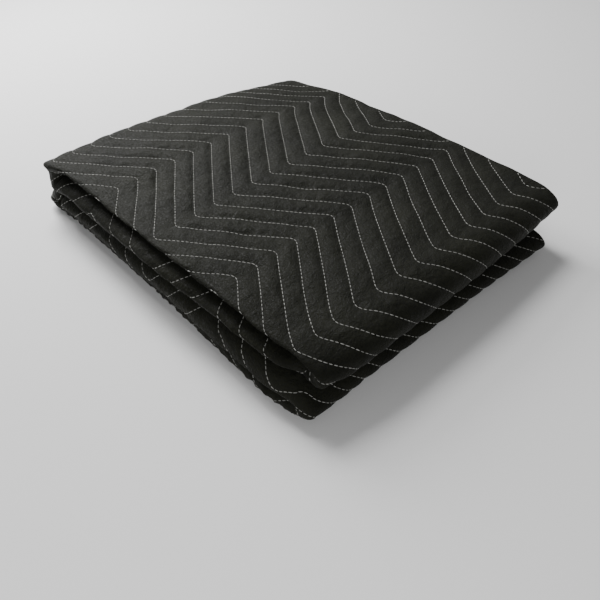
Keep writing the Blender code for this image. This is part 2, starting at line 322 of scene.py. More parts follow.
@dataclass
class BookFold:
    """The strip's middle line through the stack, station by station."""

    NEAR = 0.4   # share of a step that a station keeps from both ends of its level
    strip: Strip
    quilting: Quilting
    nose_x: float = 0.4459        # where the top run starts to turn over its nose
    end_back: float = 0.016       # how far the hidden ends stop short of the spine
    lobe_upper: float = 0.0132    # radius of the strip's middle in the upper lobe
    dent: float = 0.0130          # the same in the dent between the lobes
    lean: float = math.radians(45)   # how far a lobe turns past upright
    top_steps: int = 24           # stations to a zigzag run on the top
    second_steps: int = 24        # the same on the other levels, most where seen best
    third_steps: int = 16
    bottom_steps: int = 8
    nose_cloth: float = 1.45      # cloth over a nose, against that of a round fold
    spine_cloth: float = 1.15     # the same over the spine
    nose_steps: int = 16          # stations round a nose, a lobe and the dent
    lobe_steps: int = 11
    dent_steps: int = 8
    rows: list = field(default_factory=list)   # what is marked on the way

    def __post_init__(self) -> None:
        """Walk the whole way through the stack."""
        self.x, self.z, self.heading, self.outer = 0.0, 0.0, 0.0, 0.0
        self.walk()

    def mark(self, run: Run, share: float) -> None:
        """Keep the present place, with the slide that its level gives it."""
        self.rows.append(
            (self.x, self.z, self.heading, self.outer, *self.slide(run, share), run)
        )

    def level_slide(self, run: Run, x: float) -> np.ndarray:
        """The slide of a level at an X of its run.

        Args:
            run: the level.
            x: the X in the strip's frame.

        Returns:
            Outset of the long fold, inset of the open edge, reach of the nose.
        """
        level = LEVELS[run]
        share = np.clip(x / self.nose_x, 0.0, 1.0)
        outset = (
            level.spine * (1 - share) * (1 - 2 * share)
            + level.middle * 4 * share * (1 - share)
            + level.nose * share * (2 * share - 1)
        )
        return np.array((outset, level.edge_in, level.reach))

    def slide(self, run: Run, share: float) -> np.ndarray:
        """The slide at the present place, eased from level to level in a turn.

        Args:
            run: the stretch that the place is on.
            share: how much of that stretch lies behind it.

        Returns:
            Outset of the long fold, inset of the open edge, reach of the nose.
        """
        if run in LEVELS:
            return self.level_slide(run, self.x)
        turns = {
            Run.UPPER_NOSE: (Run.SECOND, Run.TOP, self.nose_x, 0, 1),
            Run.LOWER_NOSE: (Run.BOTTOM, Run.THIRD, self.nose_x, 0, 1),
            Run.UPPER_LOBE: (Run.TOP, Run.BOTTOM, 0.0, 0, 3),
            Run.DENT: (Run.TOP, Run.BOTTOM, 0.0, 1, 3),
            Run.LOWER_LOBE: (Run.TOP, Run.BOTTOM, 0.0, 2, 3),
        }
        before, after, x, part, parts = turns[run]
        eased = ease(np.array((part + share) / parts), 0.0, 1.0)
        return self.level_slide(before, x) * (1 - eased) + self.level_slide(after, x) * eased

    def straight(self, targets: np.ndarray, run: Run) -> None:
        """Go straight to each X in turn, and mark it.

        Args:
            targets: the X of each station.
            run: the level that they are on.
        """
        for count, target in enumerate(targets, start=1):
            self.outer += abs(target - self.x)
            self.x = float(target)
            self.mark(run, count / len(targets))

    def turn(self, radius: float, angle: float, steps: int, run: Run) -> None:
        """Turn left by a positive angle and right by a negative one.

        Args:
            radius: of the strip's middle line.
            angle: how far to turn, in radians.
            steps: how many stations to mark on the way.
            run: the stretch that they are on.
        """
        cloth = self.nose_cloth if run in (Run.UPPER_NOSE, Run.LOWER_NOSE) else self.spine_cloth
        side = math.copysign(1.0, angle)
        centre_x = self.x - side * radius * math.sin(self.heading)
        centre_z = self.z + side * radius * math.cos(self.heading)
        start = self.heading
        for count in range(1, steps + 1):
            self.heading = start + angle * count / steps
            self.x = centre_x + side * radius * math.sin(self.heading)
            self.z = centre_z - side * radius * math.cos(self.heading)
            self.outer += cloth * abs(angle) / steps * (radius + side * self.strip.half)
            self.mark(run, count / steps)

    def level_height(self, level: int) -> float:
        """Height of the strip's middle in a level, counted from the floor."""
        return (level + 0.5) * self.strip.level_pitch

    def stations(self, steps: int, start: float = 0.0) -> np.ndarray:
        """The X of each station of a level, from a start to the nose.

        Args:
            steps: how many stations the level has to a zigzag run.
            start: where the level starts.

        Returns:
            Ascending X, with the start and the nose's own.
        """
        places = np.arange(0, self.nose_x, self.quilting.run / steps)
        near = self.NEAR * self.quilting.run / steps
        kept = places[(places > start + near) & (places < self.nose_x - near)]
        return np.array([start, *kept, self.nose_x])

    def walk(self) -> None:
        """From the upper hidden end over the top and the spine to the lower one."""
        sine = math.sin(self.lean)
        drop = self.level_height(3) - self.level_height(0)
        lobe_lower = (drop - 2 * self.dent * sine) / (1 + sine) - self.lobe_upper
        lobe_turn = math.pi / 2 + self.lean
        self.x, self.z = self.end_back, self.level_height(2)
        self.mark(Run.SECOND, 0.0)
        self.straight(self.stations(self.second_steps, self.end_back)[1:], Run.SECOND)
        self.turn(self.strip.level_pitch / 2, math.pi, self.nose_steps, Run.UPPER_NOSE)
        self.straight(self.stations(self.top_steps)[-2::-1], Run.TOP)
        top_end = self.outer
        self.turn(self.lobe_upper, lobe_turn, self.lobe_steps, Run.UPPER_LOBE)
        self.turn(self.dent, -2 * self.lean, self.dent_steps, Run.DENT)
        self.turn(lobe_lower, lobe_turn, self.lobe_steps, Run.LOWER_LOBE)
        self.straight(self.stations(self.bottom_steps, self.x)[1:], Run.BOTTOM)
        self.turn(self.strip.level_pitch / 2, math.pi, self.nose_steps, Run.LOWER_NOSE)
        self.straight(self.stations(self.third_steps, self.end_back)[-2::-1], Run.THIRD)
        numbers = np.array([row[:-1] for row in self.rows])
        self.place = numbers[:, :3]
        self.cloth = top_end - numbers[:, 3]
        self.slides = numbers[:, 4:]
        self.runs = [row[-1] for row in self.rows]


class Section:
    """The strip's section: its points in order round the closed sheet.

    The outer face's rows are laid along the stitch lines, so they are lengths across
    the cloth from the open edge, which the zigzag shifts.  The other points stay put.
    """

    FACE_ROWS = (0.0, 0.125, 0.31, 0.50, 0.69, 0.875)   # rows to a line spacing on the face
    FOLD_ROWS = 12          # rows to a line spacing over the long fold
    FOLD_FROM = 12          # line from which the rows are as close as over the fold
    FOLD_TO = 0.455         # length across the cloth where they stop
    UNDER_STEPS = (4, 5, 6, 7, 8, 10, 13, 16, 21, 27, 33, 40, 45, 45)   # and widen from there
    STILL = 0.640           # length from which the rows no longer follow the lines
    EDGE_STEP = 0.00012     # least step between the rows that crowd at the open edge
    EDGE_SOFT = 0.0030      # how softly they crowd there
    EDGE_FADE = 0.012       # width over which the quilting begins at the open edge
    UNDER_FADE = (0.01, 0.08)   # lengths past the long fold where it fades underneath
    EDGE_BULGE = 1.3        # how far a rounded cut edge stands out, by its rounding
    PLAIN_ROWS = (          # Y of the rows on the plies' inner faces
        0.016, 0.022, 0.029, 0.036, 0.044, 0.052, 0.062, 0.075, 0.095, 0.12, 0.16,
        0.21, 0.27, 0.33, 0.37,
    )
    ROW_CLEAR = 0.003       # least distance of such a row from both ends of its face
    WIDE_STEPS = 8          # pieces of a wide inner fold
    SMALL_STEPS = 4         # and of a ply's small one

    def __init__(self, strip: Strip, quilting: Quilting) -> None:
        """Lay out the rows of the face and the points of the other sides.

        Args:
            strip: the folded strip's sizes.
            quilting: its stitch lines.
        """
        self.strip = strip
        self.quilting = quilting
        small = strip.ply + strip.gap / 2
        self.hem_y = strip.width - small - strip.gap
        self.face_end = strip.width - strip.half
        self.fold_end = self.face_end + strip.fold_length
        self.under_end = self.fold_end + self.hem_y - strip.half
        self.base = self.face_rows()
        self.hold = 1 - ease(self.base, self.FOLD_TO, self.STILL)
        self.other = np.array(self.plain_points(small))

    def face_rows(self) -> np.ndarray:
        """Lay out the outer face's rows.

        Returns:
            Their lengths across the cloth, before the zigzag shifts them.
        """
        quilting = self.quilting
        spacing = quilting.spacing
        first = (self.strip.width - quilting.offset) % spacing - 2 * spacing
        rows = [
            first + spacing * (line + share)
            for line in range(self.FOLD_FROM + 2)
            for share in self.FACE_ROWS
            if first + spacing * (line + share) > self.strip.edge_round - quilting.rise
        ]
        start = first + spacing * (self.FOLD_FROM + 2)
        count = 0
        while start + spacing * count / self.FOLD_ROWS < self.FOLD_TO:
            rows.append(start + spacing * count / self.FOLD_ROWS)
            count += 1
        steps = np.array(self.UNDER_STEPS, float)
        steps *= (self.under_end - rows[-1]) / steps.sum()
        rows += list(rows[-1] + np.cumsum(steps))
        return np.array(rows)

    def arc(self, centre: tuple, radius: float, start: float, turn: float, steps: int) -> list:
        """The points between the two ends of a fold.

        Args:
            centre: its centre, across the strip and through it.
            radius: its radius.
            start: the angle that it starts at.
            turn: the angle that it turns by.
            steps: how many pieces it is cut in.

        Returns:
            Points as (across, through).
        """
        angles = [start + turn * count / steps for count in range(1, steps)]
        return [
            (centre[0] + radius * math.cos(angle), centre[1] + radius * math.sin(angle))
            for angle in angles
        ]

    def level_run(self, start: float, stop: float, n: float) -> list:
        """A plain face from one Y to another, on rows that all faces share.

        Args:
            start: where it begins.
            stop: where it ends.
            n: its distance through the strip.

        Returns:
            Points as (across, through).
        """
        low = min(start, stop) + self.ROW_CLEAR
        high = max(start, stop) - self.ROW_CLEAR
        rows = [y for y in self.PLAIN_ROWS if low < y < high]
        if stop < start:
            rows.reverse()
        return [(y, n) for y in [start, *rows, stop]]

    def plain_points(self, small: float) -> list:
        """The sheet's points after the quilted face, back to the open edge.

        Args:
            small: outer radius of the innermost fold.

        Returns:
            Points as (across, through).
        """
        strip = self.strip
        fold_y = strip.half
        tight = strip.gap / 2
        wide = strip.ply + 1.5 * strip.gap
        first_edge = strip.width - strip.edge_round
        second_edge = strip.width - strip.ply - strip.edge_round
        quarter = math.pi / 2
        half_turn = math.pi
        long_fold = (fold_y, 0.0)
        hem_fold = (self.hem_y, -strip.ply - strip.gap)
        points = self.arc(hem_fold, small, -quarter, half_turn, self.SMALL_STEPS)
        points += self.level_run(self.hem_y, fold_y, -tight)
        points += self.arc(long_fold, tight, -quarter, -half_turn, 2)
        points += self.level_run(fold_y, second_edge, tight)
        points += self.cut_edge(second_edge, tight, small)
        points += self.level_run(second_edge, fold_y, small)
        points += self.arc(long_fold, small, quarter, half_turn, self.WIDE_STEPS)
        points += self.level_run(fold_y, self.hem_y, -small)
        points += self.arc(hem_fold, tight, -quarter, half_turn, 2)
        points += self.level_run(self.hem_y, fold_y, -wide)
        points += self.arc(long_fold, wide, -quarter, -half_turn, self.WIDE_STEPS)
        points += self.level_run(fold_y, first_edge, wide)
        points += self.cut_edge(first_edge, wide, strip.half)
        return points

    def cut_edge(self, y: float, low: float, high: float) -> list:
        """The rounded end of a ply, from one of its faces to the other.

        Args:
            y: where the rounding begins.
            low: distance of the first face through the strip.
            high: distance of the second.

        Returns:
            Points as (across, through).
        """
        edge = self.strip.edge_round
        side = math.copysign(edge, high - low)
        middle = (y + self.EDGE_BULGE * edge, (low + high) / 2)
        return [(y + edge, low + side), middle, (y + edge, high - side)]

    def face_point(
        self, cloth: np.ndarray, across: np.ndarray, zig: np.ndarray, lift: float = 0.0
    ) -> tuple:
        """Where a place of the outer face lies in the section.

        Args:
            cloth: lengths along the cloth.
            across: lengths across the cloth from the open edge.
            zig: height of the zigzag there.
            lift: how far above the quilted face.

        Returns:
            The distances across the strip and through it.
        """
        half = self.strip.half
        angle = np.clip((across - self.face_end) / half, 0.0, math.pi)
        out_y, out_n = np.sin(angle), np.cos(angle)
        flat = np.minimum(across, self.face_end)
        under = np.maximum(across - self.fold_end, 0.0)
        y = self.strip.width - flat - half * out_y + under
        place = self.strip.width - self.quilting.offset - across - zig
        depth = self.quilting.depth(place / self.quilting.spacing)
        depth = depth * self.quilting.fullness(cloth, across)
        depth = depth * ease(across, 0.0, self.EDGE_FADE)
        start, stop = self.UNDER_FADE
        depth = depth * (1 - ease(across, self.fold_end + start, self.fold_end + stop)) - lift
        return y + depth * out_y, (half - depth) * out_n

    def outline(self, cloth: np.ndarray) -> tuple:
        """All points of the section at every station.

        Args:
            cloth: each station's length along the cloth.

        Returns:
            Arrays of the distances across the strip and through it, and for the
            face's rows the lengths across the cloth.
        """
        zig = self.quilting.line_height(cloth[:, None], self.base[None, :])
        across = self.base[None, :] - zig * self.hold[None, :]
        crowd = self.strip.edge_round + self.EDGE_STEP * np.arange(len(self.base))
        apart = across - crowd
        across = crowd + (apart + np.hypot(apart, self.EDGE_SOFT)) / 2
        across[:, 0] = self.strip.edge_round
        y, n = self.face_point(cloth[:, None], across, zig)
        count = len(cloth)
        other_y = np.repeat(self.other[None, :, 0], count, axis=0)
        other_n = np.repeat(self.other[None, :, 1], count, axis=0)
        return np.hstack((y, other_y)), np.hstack((n, other_n)), across


# ------------------------------------------------------------------- how it lies
class Crease(NamedTuple):
    """A soft trough, or a ridge where its depth is negative."""

    start: tuple          # X and Y on the top, or X and Z on the side
    stop: tuple           # the same at its other end
    width: float          # distance from its middle line where about a third is left
    depth: float


class Ripple(NamedTuple):
    """A long, low swell of the cloth."""

    heading: float        # of its crests, in degrees from X
    length: float         # from crest to crest
    place: float          # of one crest
    depth: float          # either way from the middle


TOP_CREASES = (
    Crease((0.372, 0.070), (0.407, 0.063), 0.006, 0.0013),
    Crease((0.412, 0.065), (0.439, 0.062), 0.006, 0.0014),
    Crease((0.307, 0.106), (0.338, 0.099), 0.006, 0.0011),
    Crease((0.304, 0.079), (0.320, 0.076), 0.005, 0.0010),
    Crease((0.309, 0.134), (0.330, 0.128), 0.006, 0.0009),
    Crease((0.335, 0.052), (0.385, 0.046), 0.007, 0.0012),
    Crease((0.395, 0.041), (0.430, 0.036), 0.006, 0.0010),
    Crease((0.345, 0.088), (0.385, 0.082), 0.006, 0.0010),
    Crease((0.385, 0.100), (0.425, 0.090), 0.007, 0.0012),
    Crease((0.262, 0.092), (0.300, 0.086), 0.006, 0.0009),
    Crease((0.236, 0.060), (0.284, 0.052), 0.007, 0.0011),
    Crease((0.280, 0.040), (0.322, 0.034), 0.005, -0.0008),
    Crease((0.350, 0.062), (0.374, 0.057), 0.005, -0.0008),
    Crease((0.392, 0.077), (0.420, 0.072), 0.005, -0.0009),
    Crease((0.180, 0.052), (0.226, 0.044), 0.007, 0.0010),
    Crease((0.112, 0.048), (0.160, 0.042), 0.007, 0.0008),
    Crease((0.060, 0.070), (0.092, 0.040), 0.007, 0.0008),
    Crease((0.205, 0.118), (0.246, 0.124), 0.008, 0.0008),
    Crease((0.150, 0.180), (0.182, 0.158), 0.008, 0.0008),
    Crease((0.268, 0.196), (0.300, 0.176), 0.008, 0.0008),
    Crease((0.348, 0.170), (0.384, 0.150), 0.008, 0.0010),
    Crease((0.330, 0.262), (0.366, 0.246), 0.008, 0.0009),
    Crease((0.404, 0.216), (0.440, 0.202), 0.007, 0.0010),
    Crease((0.398, 0.320), (0.436, 0.306), 0.008, 0.0009),
    Crease((0.226, 0.300), (0.262, 0.312), 0.009, 0.0008),
    Crease((0.090, 0.246), (0.120, 0.226), 0.009, 0.0008),
    Crease((0.040, 0.170), (0.062, 0.146), 0.008, 0.0007),
    Crease((0.116, 0.334), (0.150, 0.344), 0.008, 0.0008),
    Crease((0.010, 0.030), (0.030, 0.086), 0.007, 0.0008),
)
TOP_RIPPLES = (
    Ripple(14.0, 0.047, 0.012, 0.00028),
    Ripple(62.0, 0.061, 0.020, 0.00030),
    Ripple(-38.0, 0.053, 0.031, 0.00026),
    Ripple(101.0, 0.039, 0.005, 0.00020),
    Ripple(-74.0, 0.083, 0.044, 0.00040),
)
SIDE_CREASES = (
    Crease((0.205, 0.0255), (0.300, 0.0270), 0.0030, 0.0024),
    Crease((0.325, 0.0285), (0.415, 0.0300), 0.0032, 0.0026),
    Crease((0.050, 0.0300), (0.150, 0.0270), 0.0030, 0.0020),
    Crease((0.245, 0.0150), (0.350, 0.0130), 0.0030, 0.0018),
    Crease((0.285, 0.0505), (0.360, 0.0485), 0.0026, 0.0022),
    Crease((0.375, 0.0480), (0.430, 0.0500), 0.0026, 0.0020),
    Crease((0.095, 0.0515), (0.200, 0.0490), 0.0028, 0.0018),
    Crease((0.020, 0.0470), (0.080, 0.0500), 0.0028, 0.0016),
    Crease((0.150, 0.0740), (0.260, 0.0725), 0.0024, 0.0009),
    Crease((0.290, 0.0720), (0.390, 0.0735), 0.0024, 0.0010),
)


CREASE_START = (-0.25, 0.35)   # shares of a crease's length over which it grows
CREASE_STOP = (0.65, 1.25)     # and over which it fades


def crease_depth(creases: tuple, first: np.ndarray, second: np.ndarray) -> np.ndarray:
    """How deep a set of soft creases is.

    Args:
        creases: the creases.
        first: places in their first direction.
        second: places in their second direction.

    Returns:
        Their depths together.
    """
    total = np.zeros(np.broadcast(first, second).shape)
    for crease in creases:
        start, stop = np.array(crease.start), np.array(crease.stop)
        way = stop - start
        share = ((first - start[0]) * way[0] + (second - start[1]) * way[1]) / (way @ way)
        held = np.clip(share, 0.0, 1.0)
        off = np.hypot(first - start[0] - held * way[0], second - start[1] - held * way[1])
        fade = ease(share, *CREASE_START) * (1 - ease(share, *CREASE_STOP))
        total += crease.depth * np.exp(-((off / crease.width) ** 2)) * fade
    return total


def ripple_depth(ripples: tuple, x: np.ndarray, y: np.ndarray) -> np.ndarray:
    """How deep a set of low swells is.

    Args:
        ripples: the swells.
        x: places in X.
        y: places in Y.

    Returns:
        Their depths together.
    """
    total = np.zeros(np.broadcast(x, y).shape)
    for ripple in ripples:
        angle = math.radians(ripple.heading)
        across = y * math.cos(angle) - x * math.sin(angle)
        total += ripple.depth * np.sin(2 * math.pi * (across - ripple.place) / ripple.length)
    return total


# Heights of the even stack in millimetres, for the long side and for the two ends.
HEIGHTS = (0, 8, 15, 20, 25, 33, 38, 42, 47, 53, 57, 60, 64, 68, 72, 75, 78, 80)
END_HEIGHTS = (0, 8, 15, 22, 30, 36, 40, 44, 50, 56, 62, 68, 74, 78, 80)


@dataclass(frozen=True)
class HandShape:
    """How the stack's sides and borders differ from even round folds.

    A table's row is for one X or one Y and runs up the even stack, whose heights are in
    millimetres.  Only the rows of top_up run across it instead, in metres.
    """

    # How far the long folds' side sits in, by X and height.
    side_in: SmoothTable = SmoothTable(
        (-0.030, 0.000, 0.040, 0.150, 0.300, 0.410, 0.430, 0.447, 0.464, 0.480),
        HEIGHTS,
        (
            (-7, -7, -7, -6, -5, -3, 0, 2, 4, 5, 5, 5, 4, 2, 0, -1, -1, 0),
            (-6, -6, -6, -6, -5, -3, 1, 1, 1, 3, 6, 9, 10, 8, 5, 3, 2, 1),
            (-4, -4, -4, -5, -4, -2, 5, 9, 4, 4, 9, 15, 21, 22, 18, 12, 7, 6),
            (-4, -4, -4, -5, -4, -2, 5, 9, 4, 4, 11, 17, 22, 22, 17, 11, 6, 5),
            (-4, -4, -4, -5, -3, 0, 7, 13, 5, 7, 18, 25, 29, 25, 17, 10, 6, 5),
            (-4, -4, -4, -5, -2, 3, 10, 15, 8, 11, 22, 28, 31, 27, 18, 11, 8, 7),
            (-4, -4, -4, -4, -2, 3, 10, 15, 12, 14, 20, 24, 26, 24, 18, 13, 9, 8),
            (-2, -2, -2, -2, -1, 4, 14, 19, 20, 21, 23, 24, 23, 20, 15, 11, 8, 7),
            (0, 0, 0, 0, 0, 2, 7, 11, 12, 12, 12, 11, 10, 8, 6, 5, 4, 3),
            (0, 0, 0, 0, 0, 2, 7, 11, 12, 12, 12, 11, 10, 8, 6, 5, 4, 3),
        ),
        1.6,
    )
    side_width: float = 0.085     # Y where that has faded
    # How far the long folds' border is lifted, by X and height.
    side_lift: SmoothTable = SmoothTable(
        (-0.020, 0.030, 0.150, 0.250, 0.330, 0.400, 0.446, 0.470),
        (0, 20, 40, 60, 80),
        (
            (0, -1, 0, 3, 0),
            (0, 2, 7, 9, 0),
            (0, 3, 11, 10, 0),
            (0, 3, 14, 10, 0),
            (0, 4, 16, 9, 0),
            (0, 6, 16, 9, 0),
            (0, 5, 11, 6, 0),
            (0, 3, 2, 2, 0),
        ),
        1.6,
    )
    lift_from: float = 0.012      # Y where the lift starts to fade
    lift_to: float = 0.060        # Y where it has faded
    # How far the noses are lifted away from that border, by X and height.
    nose_lift: SmoothTable = SmoothTable(
        (0.390, 0.455), (0, 20, 40, 60, 80), ((0, 0, 0, 0, 0), (0, -3, -9, -3, 0)), 1.6
    )
    nose_full: tuple = (0.08, 0.17)   # Y between which that lift grows from half to full
    # How far the noses stand out, by Y and height.
    nose_out: SmoothTable = SmoothTable(
        (0.000, 0.030, 0.080, 0.150, 0.250, 0.340, 0.395),
        END_HEIGHTS,
        (
            (0, 0, 0, 0, 0, 0, 0, 2, 3, 4, 4, 4, 3, 2, 1),
            (-1, -1, -1, -1, -1, 0, 2, 5, 6, 6, 6, 6, 6, 4, 2),
            (-4, -4, -4, -4, -3, -1, 2, 4, 5, 6, 7, 8, 9, 6, 3),
            (-3, -3, -3, -3, -3, -1, 3, 4, 5, 6, 7, 8, 9, 6, 3),
            (-1, -1, -1, -1, 0, 1, 3, 4, 5, 6, 7, 8, 9, 6, 3),
            (1, 2, 2, 2, 2, 2, 3, 2, 2, 3, 5, 7, 8, 6, 3),
            (2, 4, 4, 4, 4, 4, 4, 0, -2, -1, 2, 5, 6, 5, 3),
        ),
        1.6,
    )
    nose_from: float = 0.425      # X where that begins
    nose_to: float = 0.465        # X where it is full
    # How far the spine stands out, by Y and height.
    spine_out: SmoothTable = SmoothTable(
        (0.000, 0.050, 0.120, 0.395),
        END_HEIGHTS,
        (
            (2, 2, 2, -1, -4, -4, -4, -5, -8, -10, -9, -5, -1, 0, -1),
            (2, 3, 3, 3, 3, 2, 0, -2, -4, -5, -4, -2, 0, 2, 1),
            (0, 0, 0, 0, 0, 0, 0, 0, 0, 0, 0, 0, 1, 1, 0),
            (0, 0, 0, 0, 0, 0, 0, 0, 0, 0, 0, 0, 1, 1, 0),
        ),
        1.6,
    )
    spine_from: float = 0.020     # X where that begins
    spine_to: float = -0.005      # X where it is full
    # How far the top is raised, by X and Y.
    top_up: SmoothTable = SmoothTable(
        (-0.030, 0.050, 0.150, 0.250, 0.360, 0.440, 0.480),
        (0.0, 0.08, 0.20, 0.30, 0.40),
        (
            (8, 3, 0, 3, 6),
            (4, 4, 2, 3, 3),
            (0, 1, 2, 3, -2),
            (0, 1, 3, 4, 1),
            (1, 1, 0, 1, 1),
            (2, 1, 1, 1, 2),
            (1, 4, 4, 4, 3),
        ),
        0.02,
    )

    def shift(self, x: np.ndarray, y: np.ndarray, z: np.ndarray, side: float) -> tuple:
        """Move points of the even stack to its uneven shape.

        Args:
            x: distance from the spine.
            y: distance from the long folds.
            z: height.
            side: radius up to which the long fold moves as one.

        Returns:
            The three moved coordinates.
        """
        height = z * 1000
        stack = np.clip(height / HEIGHTS[-1], 0.0, 1.0)
        near_side = 1 - ease(y, side, self.side_width)
        folds = crease_depth(SIDE_CREASES, x, z)
        at_nose = ease(x, self.nose_from, self.nose_to)
        at_spine = 1 - ease(x, self.spine_to, self.spine_from)
        by_fold = 1 - ease(y, self.lift_from, self.lift_to)
        moved_y = y + (self.side_in.at(x, height) + folds) * near_side
        moved_x = x + self.nose_out.at(y, height) * at_nose
        moved_x = moved_x - self.spine_out.at(y, height) * at_spine
        lift = self.side_lift.at(x, height) * by_fold
        full = 0.5 + 0.5 * ease(y, *self.nose_full)
        lift = lift + self.nose_lift.at(x, height) * (1 - by_fold) * full
        lift = lift + self.top_up.at(x, y) * stack ** 2
        return moved_x, moved_y, z + lift


@dataclass(frozen=True)
class Settling:
    """How the even stack sinks, crowns, slants and rounds its corners."""

    strip: Strip
    nose_x: float                 # where the top starts to turn over its nose
    stack_height: float = 0.080   # of the even stack
    pressed: float = 0.84         # how tall the lowest cloth stays, growing to 1 at the top
    nose_stretch: float = 1.30    # how far the noses reach, against round ones
    spine_stretch: float = 1.40   # the same for the spine
    crown_x: float = 0.2517       # X of the top's highest place
    crown_share: float = 0.56     # its Y, as a share of the strip's width
    crown_half: float = 0.079     # distance in Y at which the top has dropped by drop_across
    drop_across: float = 0.00062
    run: float = Quilting.run     # distance in X at which it has dropped by drop_along
    drop_along: float = 0.00090
    drop_spine: float = 0.00006   # further drop there toward the spine, by the fourth power
    drop_nose: float = 0.00019    # and toward the nose
    rim_drop: float = 0.003       # further drop of the rim at the open edge
    rim_start: float = 0.25       # Y where that begins
    front_drop: float = 0.005     # further drop of the front corner
    front_x: tuple = (0.33, 0.47)   # X between which that grows
    front_width: float = 0.13     # Y where it has faded
    slant: float = 0.038          # how far the spine has run in where its growth is full
    slant_start: float = Quilting.skew_start   # shares of the width: where that begins
    slant_full: float = Quilting.skew_full     # and over which it grows to full
    slant_reach: float = 0.36     # X where it has faded
    behind: float = 0.016         # how far behind X = 0 it starts to fade
    corner_pull: float = 0.024    # how far the spine's corner at the open edge is drawn in
    corner_reach: float = 0.12    # X where that has faded
    front_pull: tuple = (0.005, 0.006)   # how far the front corner is, in X and in Y
    front_pull_x: tuple = (0.40, 0.47)   # X between which that grows
    front_pull_width: float = 0.10   # Y where it has faded

    def top_drop(self, x: np.ndarray, y: np.ndarray) -> np.ndarray:
        """How far the settled top lies below its highest place.

        Args:
            x: distance from the spine.
            y: distance from the long folds.

        Returns:
            The drop at each place.
        """
        along = (x - self.crown_x) / self.run
        across = (y - self.crown_share * self.strip.width) / self.crown_half
        further = np.where(along < 0, self.drop_spine, self.drop_nose)
        drop = self.drop_along * along ** 2 + further * along ** 4
        drop = drop + self.drop_across * across ** 2
        drop = drop + self.rim_drop * ease(y, self.rim_start, self.strip.width)
        front = ease(x, *self.front_x) * (1 - ease(y, 0.0, self.front_width))
        return drop + self.front_drop * front

    def lie(self, x: np.ndarray, y: np.ndarray, z: np.ndarray) -> tuple:
        """Move points of the even stack to where they come to lie.

        Args:
            x: distance from the spine.
            y: distance from the long folds.
            z: height.

        Returns:
            The three moved coordinates.
        """
        x = np.where(x < 0, x * self.spine_stretch, x)
        x = np.where(x > self.nose_x, self.nose_x + (x - self.nose_x) * self.nose_stretch, x)
        floor_gap = self.strip.level_pitch / 2 - self.strip.half
        height = self.stack_height
        settled = (z - floor_gap) * (self.pressed + (1 - self.pressed) * z / height)
        settled = settled * (1 - self.top_drop(x, y) / height)
        uneven = crease_depth(TOP_CREASES, x, y) + ripple_depth(TOP_RIPPLES, x, y)
        settled = settled - uneven * np.clip(z / height, 0.0, 1.0) ** 3
        run_in = np.maximum(y / self.strip.width - self.slant_start, 0.0) / self.slant_full
        moved_x = x + self.slant * run_in ** 2 * (1 - ease(x, -self.behind, self.slant_reach))
        corner = 1 - ease(x, -2 * self.behind, self.corner_reach)
        corner = corner * ease(y, self.rim_start, self.strip.width)
        front = ease(x, *self.front_pull_x) * (1 - ease(y, 0.0, self.front_pull_width))
        moved_x = moved_x - self.front_pull[0] * front
        return moved_x, y - self.corner_pull * corner + self.front_pull[1] * front, settled


